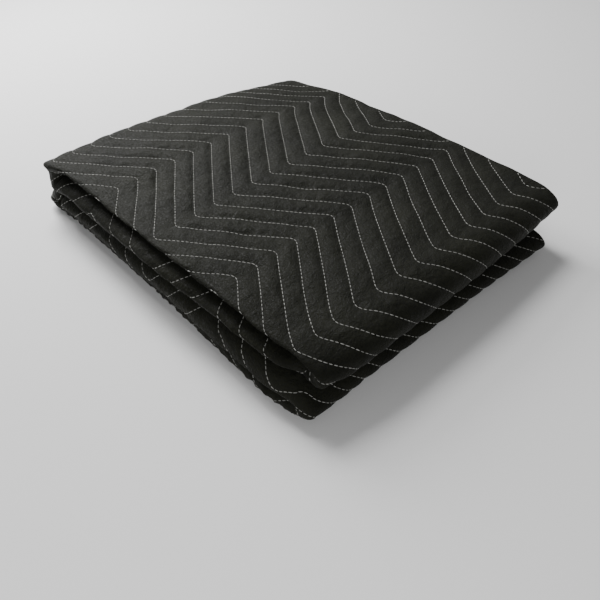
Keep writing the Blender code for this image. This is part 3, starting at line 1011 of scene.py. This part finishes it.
@dataclass
class FoldedQuilt:
    """The whole blanket as one closed sheet."""

    EDGE_NEAR = 0.0004   # tolerance by which the innermost ply's cut edge is found
    strip: Strip = Strip()
    quilting: Quilting = Quilting()
    shape: HandShape = HandShape()
    origin: tuple = (0.22328, 0.19527)    # the CAD frame's origin, in the strip's frame
    fold_slide_width: float = 0.16   # Y where a level's outset at the long fold has faded
    edge_slide_start: float = 0.20   # Y where its open edge's inset begins
    reach_start: float = 0.30        # X where its nose's reach begins

    def __post_init__(self) -> None:
        """Work out the way through the stack and the section."""
        self.book = BookFold(self.strip, self.quilting)
        self.section = Section(self.strip, self.quilting)
        self.settling = Settling(self.strip, self.book.nose_x)

    def place(
        self, place: np.ndarray, slides: np.ndarray, y: np.ndarray, n: np.ndarray
    ) -> np.ndarray:
        """Put points of the section where they lie in the CAD frame.

        Args:
            place: stations' X, Z and heading, one row each.
            slides: stations' outset, edge inset and reach, one row each.
            y: distance across the strip, one row for each station.
            n: distance through the strip, the same.

        Returns:
            An array of places with the shape of y and 3 numbers each.
        """
        station_x, station_z, heading = (place[:, index][:, None] for index in range(3))
        outset, edge_in, reach = (slides[:, index][:, None] for index in range(3))
        x = station_x + n * np.sin(heading)
        z = station_z - n * np.cos(heading)
        toward_fold = 1 - ease(y, 0.0, self.fold_slide_width)
        toward_edge = ease(y, self.edge_slide_start, self.strip.width)
        y = y - outset * toward_fold - edge_in * toward_edge
        x = x + reach * ease(x, self.reach_start, self.book.nose_x)
        x, y, z = self.shape.shift(x, y, z, self.strip.half)
        x, y, z = self.settling.lie(x, y, z)
        return np.stack((x - self.origin[0], y - self.origin[1], z), axis=-1)

    def build(self) -> bpy.types.Object:
        """Loft the section through the stack and close both its ends.

        Returns:
            The sheet as a mesh object with a UV map laid along the cloth.
        """
        y, n, across = self.section.outline(self.book.cloth)
        points = self.place(self.book.place, self.book.slides, y, n)
        stations, size = y.shape
        index = np.arange(stations * size).reshape(stations, size)
        after = np.roll(index, -1, axis=1)
        quads = np.stack((index[:-1], after[:-1], after[1:], index[1:]), axis=-1).reshape(-1, 4)
        faces = quads.tolist() + self.end_faces(index[0], y[0], n[0])
        faces += self.end_faces(index[-1], y[-1], n[-1])
        mesh = bpy.data.meshes.new("quilt_sheet")
        mesh.from_pydata(points.reshape(-1, 3).tolist(), [], faces)
        self.lay_uv(mesh, y, n, across)
        shape = bmesh.new()
        shape.from_mesh(mesh)
        bmesh.ops.recalc_face_normals(shape, faces=shape.faces[:])
        shape.to_mesh(mesh)
        shape.free()
        mesh.shade_smooth()
        sheet = self.dress(plain_object("quilt_sheet", mesh))
        LOG.info("%s: %d faces", sheet.name, len(mesh.polygons))
        return sheet

    def dress(self, sheet: bpy.types.Object) -> bpy.types.Object:
        """Give the sheet its cover cloth."""
        sheet.data.materials.append(CLOTH.material())
        return sheet

    def end_faces(self, ring: np.ndarray, y: np.ndarray, n: np.ndarray) -> list:
        """Close one end of the sheet by joining its two sides in step.

        Args:
            ring: the vertices round the section.
            y: their distances across the strip.
            n: their distances through the strip.

        Returns:
            The faces that close it.
        """
        steps = np.hypot(np.diff(y), np.diff(n))
        length = np.append(0.0, np.cumsum(steps))
        second = self.second_edge_index()
        outer = [(ring[k], length[k]) for k in range(second)]
        back = list(range(len(ring) - 4, second + 2, -1))
        inner_length = 0.0
        inner = []
        for count, k in enumerate(back):
            if count:
                before = back[count - 1]
                inner_length += math.hypot(y[k] - y[before], n[k] - n[before])
            inner.append((ring[k], inner_length))
        scale = outer[-1][1] / inner[-1][1]
        inner = [(vertex, along * scale) for vertex, along in inner]
        faces = []
        near = far = 0
        while near < len(outer) - 1 or far < len(inner) - 1:
            near_next = outer[near + 1][1] if near < len(outer) - 1 else math.inf
            far_next = inner[far + 1][1] if far < len(inner) - 1 else math.inf
            if near_next <= far_next:
                faces.append([outer[near][0], outer[near + 1][0], inner[far][0]])
                near += 1
            else:
                faces.append([outer[near][0], inner[far + 1][0], inner[far][0]])
                far += 1
        faces.append([ring[k] for k in range(second - 1, second + 4)])
        faces.append([ring[k] for k in range(len(ring) - 4, len(ring))] + [ring[0]])
        return [[int(vertex) for vertex in face] for face in faces]

    def second_edge_index(self) -> int:
        """Find where the ring comes to the rounded edge of the innermost ply.

        Returns:
            The index of its first point there.
        """
        y, n = self.section.other.T
        at_edge = np.abs(y - (self.strip.width - self.strip.ply)) < self.EDGE_NEAR
        in_ply = (n > 0) & (n < self.strip.ply)
        return len(self.section.base) + int(np.argmax(at_edge & in_ply))

    def lay_uv(
        self, mesh: bpy.types.Mesh, y: np.ndarray, n: np.ndarray, across: np.ndarray
    ) -> None:
        """Give the sheet a UV map in metres: along the strip, and across the cloth.

        Args:
            mesh: the sheet.
            y: its points' distances across the strip, one row for each station.
            n: their distances through the strip, the same.
            across: lengths across the cloth of the face's rows.
        """
        stations, size = y.shape
        steps = np.hypot(np.diff(y, axis=1), np.diff(n, axis=1))
        length = np.hstack((np.zeros((stations, 1)), np.cumsum(steps, axis=1)))
        turn = self.second_edge_index()
        length = np.where(length > length[:, [turn]], 2 * length[:, [turn]] - length, length)
        rows = across.shape[1]
        length[:, :rows] = across
        along = np.repeat(self.book.cloth[:, None], size, axis=1)
        uv = np.stack((along, length), axis=-1).reshape(-1, 2)
        layer = mesh.uv_layers.new(name="cloth")
        corners = np.zeros(len(mesh.loops), dtype=np.int32)
        mesh.loops.foreach_get("vertex_index", corners)
        layer.data.foreach_set("uv", uv[corners].astype(np.float32).ravel())


# ------------------------------------------------------------------- the stitching
@dataclass
class RunningStitch:
    """The chevron lines of running stitch, laid on the quilted face."""

    quilt: FoldedQuilt
    pitch: float = 0.0050         # from one stitch to the next
    stitch: float = 0.0041        # length of the thread that shows
    radius: float = 0.00042       # of the thread
    lift: float = 0.00020         # how far its middle lies above the cloth
    unevenness: float = 0.12      # spread of the stitches' lengths
    seed: int = 7
    edge_margin: float = 0.004    # from the open edge to the first stitch
    under_fold: float = 0.008     # how far the lines are sewn on under the long fold
    hidden_margin: float = 0.012  # how far they are on a hidden face above the fold
    nose_margin: float = 0.022    # and how far behind the noses

    def lines(self) -> list:
        """Follow every stitch line where it is sewn on.

        Returns:
            The lines as lists of points in the CAD frame.
        """
        section, book = self.quilt.section, self.quilt.book
        strip, quilting = section.strip, section.quilting
        low = self.edge_margin
        high = section.fold_end + self.under_fold
        hidden = np.array([run in (Run.SECOND, Run.THIRD) for run in book.runs])
        hidden &= book.place[:, 0] < book.nose_x - self.nose_margin
        lowest = np.where(hidden, section.face_end - self.hidden_margin, low)
        first = math.ceil((strip.width + quilting.rise) / quilting.spacing)
        last = math.floor((strip.width - high - quilting.rise) / quilting.spacing)
        found = []
        for line in range(last, first + 1):
            base = strip.width - quilting.offset - line * quilting.spacing
            zig = quilting.line_height(book.cloth, np.array(base))
            across = base - zig
            shown = (across > lowest) & (across < high)
            y, n = section.face_point(book.cloth, across, zig, self.lift)
            points = self.quilt.place(book.place, book.slides, y[:, None], n[:, None])[:, 0]
            run = []
            for point, seen in zip(points, shown):
                if seen:
                    run.append(tuple(point))
                    continue
                if len(run) > 1:
                    found.append(run)
                run = []
            if len(run) > 1:
                found.append(run)
        return found

    def build(self) -> bpy.types.Object:
        """Lay the lines and sew them with a geometry node tree.

        Returns:
            The stitches as one plain mesh object.
        """
        points, edges = [], []
        for line in self.lines():
            start = len(points)
            points += line
            edges += [(start + count, start + count + 1) for count in range(len(line) - 1)]
        mesh = bpy.data.meshes.new("stitch_lines")
        mesh.from_pydata(points, edges, [])
        guide = plain_object("stitch_lines", mesh)
        tree = stitch_tree()
        modifier = guide.modifiers.new("running stitch", "NODES")
        modifier.node_group = tree
        values = {
            "Pitch": self.pitch,
            "Stitch length": self.stitch,
            "Thread radius": self.radius,
            "Unevenness": self.unevenness,
            "Seed": self.seed,
            "Thread": THREAD.material(),
        }
        for item in tree.interface.items_tree:
            if item.item_type == "SOCKET" and item.in_out == "INPUT" and item.name in values:
                modifier[item.identifier] = values[item.name]
        depsgraph = bpy.context.evaluated_depsgraph_get()
        made = bpy.data.meshes.new_from_object(guide.evaluated_get(depsgraph))
        guide.modifiers.remove(modifier)
        bpy.data.objects.remove(guide)
        made.name = "quilt_stitches"
        LOG.info("%s: %d faces", made.name, len(made.polygons))
        return plain_object("quilt_stitches", made)


def calculate(
    tree: bpy.types.NodeTree, operation: str, first: float | bpy.types.NodeSocket,
    second: float | bpy.types.NodeSocket
) -> bpy.types.NodeSocket:
    """Place a math node.

    Args:
        tree: where it goes.
        operation: what it does.
        first: its first number, or the socket that gives it.
        second: its second, the same.

    Returns:
        The socket of its result.
    """
    node = tree.nodes.new("ShaderNodeMath")
    node.operation = operation
    for value, socket in zip((first, second), node.inputs):
        if isinstance(value, bpy.types.NodeSocket):
            tree.links.new(value, socket)
        else:
            socket.default_value = value
    return node.outputs[0]


def stitch_tree() -> bpy.types.NodeTree:
    """Geometry nodes that sew a line of even stitches along each edge chain.

    Returns:
        The node tree, with named inputs for its sizes.
    """
    tree = bpy.data.node_groups.new("running_stitch", "GeometryNodeTree")
    sockets = (
        ("Lines", "Geometry"), ("Pitch", "Float"), ("Stitch length", "Float"),
        ("Thread radius", "Float"), ("Unevenness", "Float"), ("Seed", "Int"),
        ("Thread", "Material"),
    )
    for name, kind in sockets:
        tree.interface.new_socket(name, in_out="INPUT", socket_type="NodeSocket" + kind)
    tree.interface.new_socket("Stitches", in_out="OUTPUT", socket_type="NodeSocketGeometry")
    add = tree.nodes.new
    join = tree.links.new
    given = add("NodeGroupInput").outputs
    result = add("NodeGroupOutput").inputs
    curve = add("GeometryNodeMeshToCurve")
    join(given["Lines"], curve.inputs["Mesh"])
    resample = add("GeometryNodeResampleCurve")
    resample.mode = "LENGTH"
    join(curve.outputs["Curve"], resample.inputs["Curve"])
    join(given["Pitch"], resample.inputs["Length"])
    tangent = add("GeometryNodeInputTangent")
    aim = add("FunctionNodeAlignRotationToVector")
    aim.axis = "Z"
    join(tangent.outputs["Tangent"], aim.inputs["Vector"])
    ball = add("GeometryNodeMeshUVSphere")
    for name, value in (("Segments", 6), ("Rings", 4), ("Radius", 1.0)):
        ball.inputs[name].default_value = value
    half = calculate(tree, "MULTIPLY", given["Stitch length"], 0.5)
    size = add("ShaderNodeCombineXYZ")
    for name in ("X", "Y"):
        join(given["Thread radius"], size.inputs[name])
    join(half, size.inputs["Z"])
    thread = add("GeometryNodeTransform")
    join(ball.outputs["Mesh"], thread.inputs["Geometry"])
    join(size.outputs["Vector"], thread.inputs["Scale"])
    spread = add("FunctionNodeRandomValue")
    spread.data_type = "FLOAT"
    least, most = [socket for socket in spread.inputs if socket.type == "VALUE"][:2]
    join(calculate(tree, "SUBTRACT", 1.0, given["Unevenness"]), least)
    join(calculate(tree, "ADD", 1.0, given["Unevenness"]), most)
    join(given["Seed"], spread.inputs["Seed"])
    spread_out = next(socket for socket in spread.outputs if socket.type == "VALUE")
    scale = add("ShaderNodeCombineXYZ")
    for name in ("X", "Y"):
        scale.inputs[name].default_value = 1.0
    join(spread_out, scale.inputs["Z"])
    sew = add("GeometryNodeInstanceOnPoints")
    join(resample.outputs["Curve"], sew.inputs["Points"])
    join(thread.outputs["Geometry"], sew.inputs["Instance"])
    join(aim.outputs["Rotation"], sew.inputs["Rotation"])
    join(scale.outputs["Vector"], sew.inputs["Scale"])
    real = add("GeometryNodeRealizeInstances")
    join(sew.outputs["Instances"], real.inputs["Geometry"])
    smooth = add("GeometryNodeSetShadeSmooth")
    join(real.outputs["Geometry"], smooth.inputs["Geometry"])
    dress = add("GeometryNodeSetMaterial")
    join(smooth.outputs["Geometry"], dress.inputs["Geometry"])
    join(given["Thread"], dress.inputs["Material"])
    join(dress.outputs["Geometry"], result["Stitches"])
    return tree


# ------------------------------------------------------------------- the finishes
WAVE_SCALE = 1.0 / 20.0   # of a wave texture, for one radian of its phase to a metre


def node_group(name: str, inputs: tuple, outputs: tuple) -> bpy.types.NodeTree:
    """Start a shader node group.

    Args:
        name: its name.
        inputs: (name, socket type, default) of each input.
        outputs: (name, socket type) of each output.

    Returns:
        The empty group with its sockets.
    """
    group = bpy.data.node_groups.new(name, "ShaderNodeTree")
    for label, kind, default in inputs:
        socket = group.interface.new_socket(label, in_out="INPUT", socket_type=kind)
        if default is not None:
            socket.default_value = default
    for label, kind in outputs:
        group.interface.new_socket(label, in_out="OUTPUT", socket_type=kind)
    return group


@cache
def mottling() -> bpy.types.NodeTree:
    """Cloudy lighter and darker places.

    Returns:
        The node group, whose mask goes from 0 to 1.
    """
    group = node_group(
        "mottling",
        (("Vector", "NodeSocketVector", None), ("Scale", "NodeSocketFloat", 40.0),
         ("Detail", "NodeSocketFloat", 3.0), ("Low", "NodeSocketFloat", 0.3),
         ("High", "NodeSocketFloat", 0.7)),
        (("Mask", "NodeSocketFloat"),),
    )
    given = group.nodes.new("NodeGroupInput").outputs
    result = group.nodes.new("NodeGroupOutput").inputs
    noise = group.nodes.new("ShaderNodeTexNoise")
    for name in ("Vector", "Scale", "Detail"):
        group.links.new(given[name], noise.inputs[name])
    reach = group.nodes.new("ShaderNodeMapRange")
    group.links.new(noise.outputs["Fac"], reach.inputs["Value"])
    group.links.new(given["Low"], reach.inputs["From Min"])
    group.links.new(given["High"], reach.inputs["From Max"])
    group.links.new(reach.outputs["Result"], result["Mask"])
    return group


@cache
def weave() -> bpy.types.NodeTree:
    """A plain crossing of two soft waves, as threads make.

    Returns:
        The node group, whose height goes from 0 to 1.
    """
    group = node_group(
        "fine_weave",
        (("Vector", "NodeSocketVector", None), ("Phase per metre", "NodeSocketFloat", 900.0),
         ("Wander", "NodeSocketFloat", 0.6)),
        (("Height", "NodeSocketFloat"),),
    )
    given = group.nodes.new("NodeGroupInput").outputs
    result = group.nodes.new("NodeGroupOutput").inputs
    scale = calculate(group, "MULTIPLY", given["Phase per metre"], WAVE_SCALE)
    bands = []
    for direction in ("X", "Y"):
        wave = group.nodes.new("ShaderNodeTexWave")
        wave.bands_direction = direction
        wave.inputs["Detail"].default_value = 1.0
        group.links.new(scale, wave.inputs["Scale"])
        group.links.new(given["Wander"], wave.inputs["Distortion"])
        group.links.new(given["Vector"], wave.inputs["Vector"])
        bands.append(wave.outputs["Fac"])
    group.links.new(calculate(group, "MULTIPLY", *bands), result["Height"])
    return group


def use_group(
    material: bpy.types.Material, group: bpy.types.NodeTree, vector: bpy.types.NodeSocket,
    **values: float
) -> bpy.types.Node:
    """Place a node group in a material.

    Args:
        material: where it goes.
        group: the node group.
        vector: what feeds its Vector input.
        **values: its other inputs, spaces in their names written as underscores.

    Returns:
        The group's node.
    """
    node = material.node_tree.nodes.new("ShaderNodeGroup")
    node.node_tree = group
    material.node_tree.links.new(vector, node.inputs["Vector"])
    for name, value in values.items():
        node.inputs[name.replace("_", " ")].default_value = value
    return node


def new_material(name: str, roughness: float) -> tuple:
    """Start a material that isn't metal.

    Args:
        name: its name.
        roughness: its roughness, if nothing else feeds it.

    Returns:
        The material and its surface node.
    """
    material = bpy.data.materials.new(name)
    material.use_nodes = True
    surface = material.node_tree.nodes["Principled BSDF"]
    surface.inputs["Metallic"].default_value = 0.0
    surface.inputs["Roughness"].default_value = roughness
    return material, surface


def mix_colours(
    tree: bpy.types.NodeTree, mask: bpy.types.NodeSocket, dark: tuple, light: tuple
) -> bpy.types.NodeSocket:
    """Mix two colours.

    Args:
        tree: the material's nodes.
        mask: where the dark colour is (0) and where the light one (1).
        dark: the dark colour.
        light: the light one.

    Returns:
        The socket of the mixed colour.
    """
    mix = tree.nodes.new("ShaderNodeMix")
    mix.data_type = "RGBA"
    first, second = [socket for socket in mix.inputs if socket.type == "RGBA"]
    first.default_value = dark
    second.default_value = light
    tree.links.new(mask, mix.inputs["Factor"])
    return next(socket for socket in mix.outputs if socket.type == "RGBA")


def add_bump(
    tree: bpy.types.NodeTree, height: bpy.types.NodeSocket, distance: float,
    strength: float = 1.0, under: bpy.types.NodeSocket | None = None
) -> bpy.types.NodeSocket:
    """Raise a surface by a height.

    Args:
        tree: the material's nodes.
        height: the height, from 0 to 1.
        distance: how many metres 1 stands for.
        strength: share of it that is used.
        under: the normal that it is laid on, if any.

    Returns:
        The socket of the new normal.
    """
    bump = tree.nodes.new("ShaderNodeBump")
    bump.inputs["Strength"].default_value = strength
    bump.inputs["Distance"].default_value = distance
    tree.links.new(height, bump.inputs["Height"])
    if under is not None:
        tree.links.new(under, bump.inputs["Normal"])
    return bump.outputs["Normal"]


@dataclass(frozen=True)
class ClothFinish:
    """Near-black woven cover cloth, matte, with a faint olive cast."""

    dark: tuple = (0.0004, 0.0006, 0.0, 1.0)
    light: tuple = (0.0112, 0.0118, 0.0066, 1.0)
    roughness: tuple = (0.52, 0.86)   # where the fine mottling is dark, and where light
    sheen: float = 0.02
    sheen_roughness: float = 0.6
    gloss: float = 0.11
    broad_scale: float = 14.0         # of the mottling that spans a few lines
    fine_scale: float = 420.0         # of the mottling of a few millimetres
    fine_share: float = 0.55          # share of the fine one in the colour
    weave_height: float = 0.00012
    weave_strength: float = 0.5
    crinkle_height: float = 0.0032    # of the padding's small crinkles
    crinkle_scale: float = 75.0
    grain_height: float = 0.0008      # of the cloth's grain
    grain_scale: float = 620.0
    rough_strength: float = 0.6       # share of the crinkles' and the grain's height used

    def material(self) -> bpy.types.Material:
        """Make the cloth's material.

        Returns:
            The material.
        """
        material, surface = new_material("black_cover_cloth", self.roughness[1])
        tree = material.node_tree
        surface.inputs["Sheen Weight"].default_value = self.sheen
        surface.inputs["Sheen Roughness"].default_value = self.sheen_roughness
        surface.inputs["Specular IOR Level"].default_value = self.gloss
        uv = tree.nodes.new("ShaderNodeUVMap")
        uv.uv_map = "cloth"
        cloth = uv.outputs["UV"]
        place = tree.nodes.new("ShaderNodeTexCoord").outputs["Object"]
        broad = use_group(material, mottling(), place, Scale=self.broad_scale, Low=0.25, High=0.75)
        fine = use_group(
            material, mottling(), cloth, Scale=self.fine_scale, Detail=2.0, Low=0.34, High=0.66
        )
        both = tree.nodes.new("ShaderNodeMix")
        both.data_type = "FLOAT"
        both.inputs["Factor"].default_value = self.fine_share
        tree.links.new(broad.outputs["Mask"], both.inputs["A"])
        tree.links.new(fine.outputs["Mask"], both.inputs["B"])
        colour = mix_colours(tree, both.outputs["Result"], self.dark, self.light)
        tree.links.new(colour, surface.inputs["Base Color"])
        rough = tree.nodes.new("ShaderNodeMapRange")
        rough.inputs["To Min"].default_value = self.roughness[0]
        rough.inputs["To Max"].default_value = self.roughness[1]
        tree.links.new(fine.outputs["Mask"], rough.inputs["Value"])
        tree.links.new(rough.outputs["Result"], surface.inputs["Roughness"])
        threads = use_group(material, weave(), cloth)
        normal = add_bump(tree, threads.outputs["Height"], self.weave_height, self.weave_strength)
        for scale, detail, height in (
            (self.grain_scale, 2.0, self.grain_height),
            (self.crinkle_scale, 4.0, self.crinkle_height),
        ):
            mask = use_group(
                material, mottling(), place, Scale=scale, Detail=detail, Low=0.2, High=0.8
            ).outputs["Mask"]
            normal = add_bump(tree, mask, height, self.rough_strength, normal)
        tree.links.new(normal, surface.inputs["Normal"])
        return material


@dataclass(frozen=True)
class ThreadFinish:
    """Pale grey polyester sewing thread."""

    dark: tuple = (0.18, 0.18, 0.17, 1.0)
    light: tuple = (0.35, 0.35, 0.33, 1.0)
    roughness: float = 0.55
    mottle_scale: float = 260.0
    twist_height: float = 0.0001
    twist_phase: float = 1600.0       # radians of the twist's waves to a metre

    def material(self) -> bpy.types.Material:
        """Make the thread's material.

        Returns:
            The material.
        """
        material, surface = new_material("pale_thread", self.roughness)
        tree = material.node_tree
        place = tree.nodes.new("ShaderNodeTexCoord").outputs["Object"]
        grain = use_group(
            material, mottling(), place, Scale=self.mottle_scale, Detail=2.0, Low=0.3, High=0.7
        )
        colour = mix_colours(tree, grain.outputs["Mask"], self.dark, self.light)
        tree.links.new(colour, surface.inputs["Base Color"])
        twist = use_group(
            material, weave(), place, Phase_per_metre=self.twist_phase, Wander=0.2
        )
        normal = add_bump(tree, twist.outputs["Height"], self.twist_height)
        tree.links.new(normal, surface.inputs["Normal"])
        return material


@dataclass(frozen=True)
class FloorFinish:
    """Plain pale floor."""

    colour: tuple = (0.80, 0.80, 0.80, 1.0)
    roughness: float = 0.9

    def material(self) -> bpy.types.Material:
        """Make the floor's material.

        Returns:
            The material.
        """
        material, surface = new_material("pale_floor", self.roughness)
        surface.inputs["Base Color"].default_value = self.colour
        return material


CLOTH = ClothFinish()
THREAD = ThreadFinish()


# ------------------------------------------------------------------- the studio
class Lamp(NamedTuple):
    """A soft area light that points at the stack."""

    name: str
    place: tuple
    size: float           # side of its square
    power: float          # in watts


@dataclass
class Studio:
    """Floor, lights and camera."""

    floor_half: float = 6.0        # half the floor's side
    floor_drop: float = 0.0004     # how far it lies below Z = 0, to clear the lowest stitches
    sky: float = 0.20              # strength of the even white light from all round
    lamps: tuple = (
        Lamp("key", (-1.00, 0.02, 0.72), 0.6, 17.0),
        Lamp("window", (-1.15, 0.45, 1.9), 0.8, 44.0),
        Lamp("fill", (0.85, -1.00, 0.50), 0.5, 7.0),
    )
    camera_place: tuple = (0.5072, -0.4156, 0.5047)
    camera_right: tuple = (0.67772, 0.73441, -0.03650)       # the way to the picture's right
    camera_forward: tuple = (-0.54263, 0.46600, -0.69885)    # and into it
    lens: float = 38.94            # focal length and the sensor's width, in millimetres
    sensor: float = 36.0
    nearest: float = 0.02          # how near the camera sees

    def build(self) -> None:
        """Make the floor, the world, the lamps and the camera."""
        self.lay_floor()
        self.light_up()
        self.set_camera()

    def lay_floor(self) -> None:
        half, low = self.floor_half, -self.floor_drop
        mesh = bpy.data.meshes.new("floor")
        corners = ((-half, -half, low), (half, -half, low), (half, half, low), (-half, half, low))
        mesh.from_pydata(corners, [], [(0, 1, 2, 3)])
        mesh.materials.append(FloorFinish().material())
        floor = plain_object("floor", mesh)

    def light_up(self) -> None:
        """Make the world and the lamps, which all point at the frame's origin."""
        world = bpy.data.worlds.new("studio")
        world.use_nodes = True
        background = world.node_tree.nodes["Background"]
        background.inputs["Color"].default_value = (1, 1, 1, 1)
        background.inputs["Strength"].default_value = self.sky
        bpy.context.scene.world = world
        for lamp in self.lamps:
            light = bpy.data.lights.new(lamp.name, "AREA")
            light.energy = lamp.power
            light.size = lamp.size
            holder = bpy.data.objects.new(lamp.name, light)
            holder.location = lamp.place
            holder.rotation_mode = "QUATERNION"
            holder.rotation_quaternion = (-Vector(lamp.place)).to_track_quat("-Z", "Y")
            bpy.context.scene.collection.objects.link(holder)

    def set_camera(self) -> None:
        """Place the camera, with its axes made square to each other."""
        lens = bpy.data.cameras.new("camera")
        lens.lens = self.lens
        lens.sensor_width = self.sensor
        lens.clip_start = self.nearest
        camera = bpy.data.objects.new("camera", lens)
        right = Vector(self.camera_right).normalized()
        back = -Vector(self.camera_forward).normalized()
        up = back.cross(right).normalized()
        right = up.cross(back)
        turn = Matrix((right, up, back)).transposed()
        camera.matrix_world = Matrix.Translation(self.camera_place) @ turn.to_4x4()
        bpy.context.scene.collection.objects.link(camera)
        bpy.context.scene.camera = camera


# ------------------------------------------------------------------- all together
def main() -> None:
    """Build the blanket, declare its pieces and set up the studio."""
    logging.basicConfig(level=logging.INFO, format="%(name)s: %(message)s")
    quilt = FoldedQuilt()
    sheet = quilt.build()
    stitches = RunningStitch(quilt).build()
    for piece in (sheet, stitches):
        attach(piece, BODY)
    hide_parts(NODE)
    Studio().build()


if __name__ == "__main__":
    main()
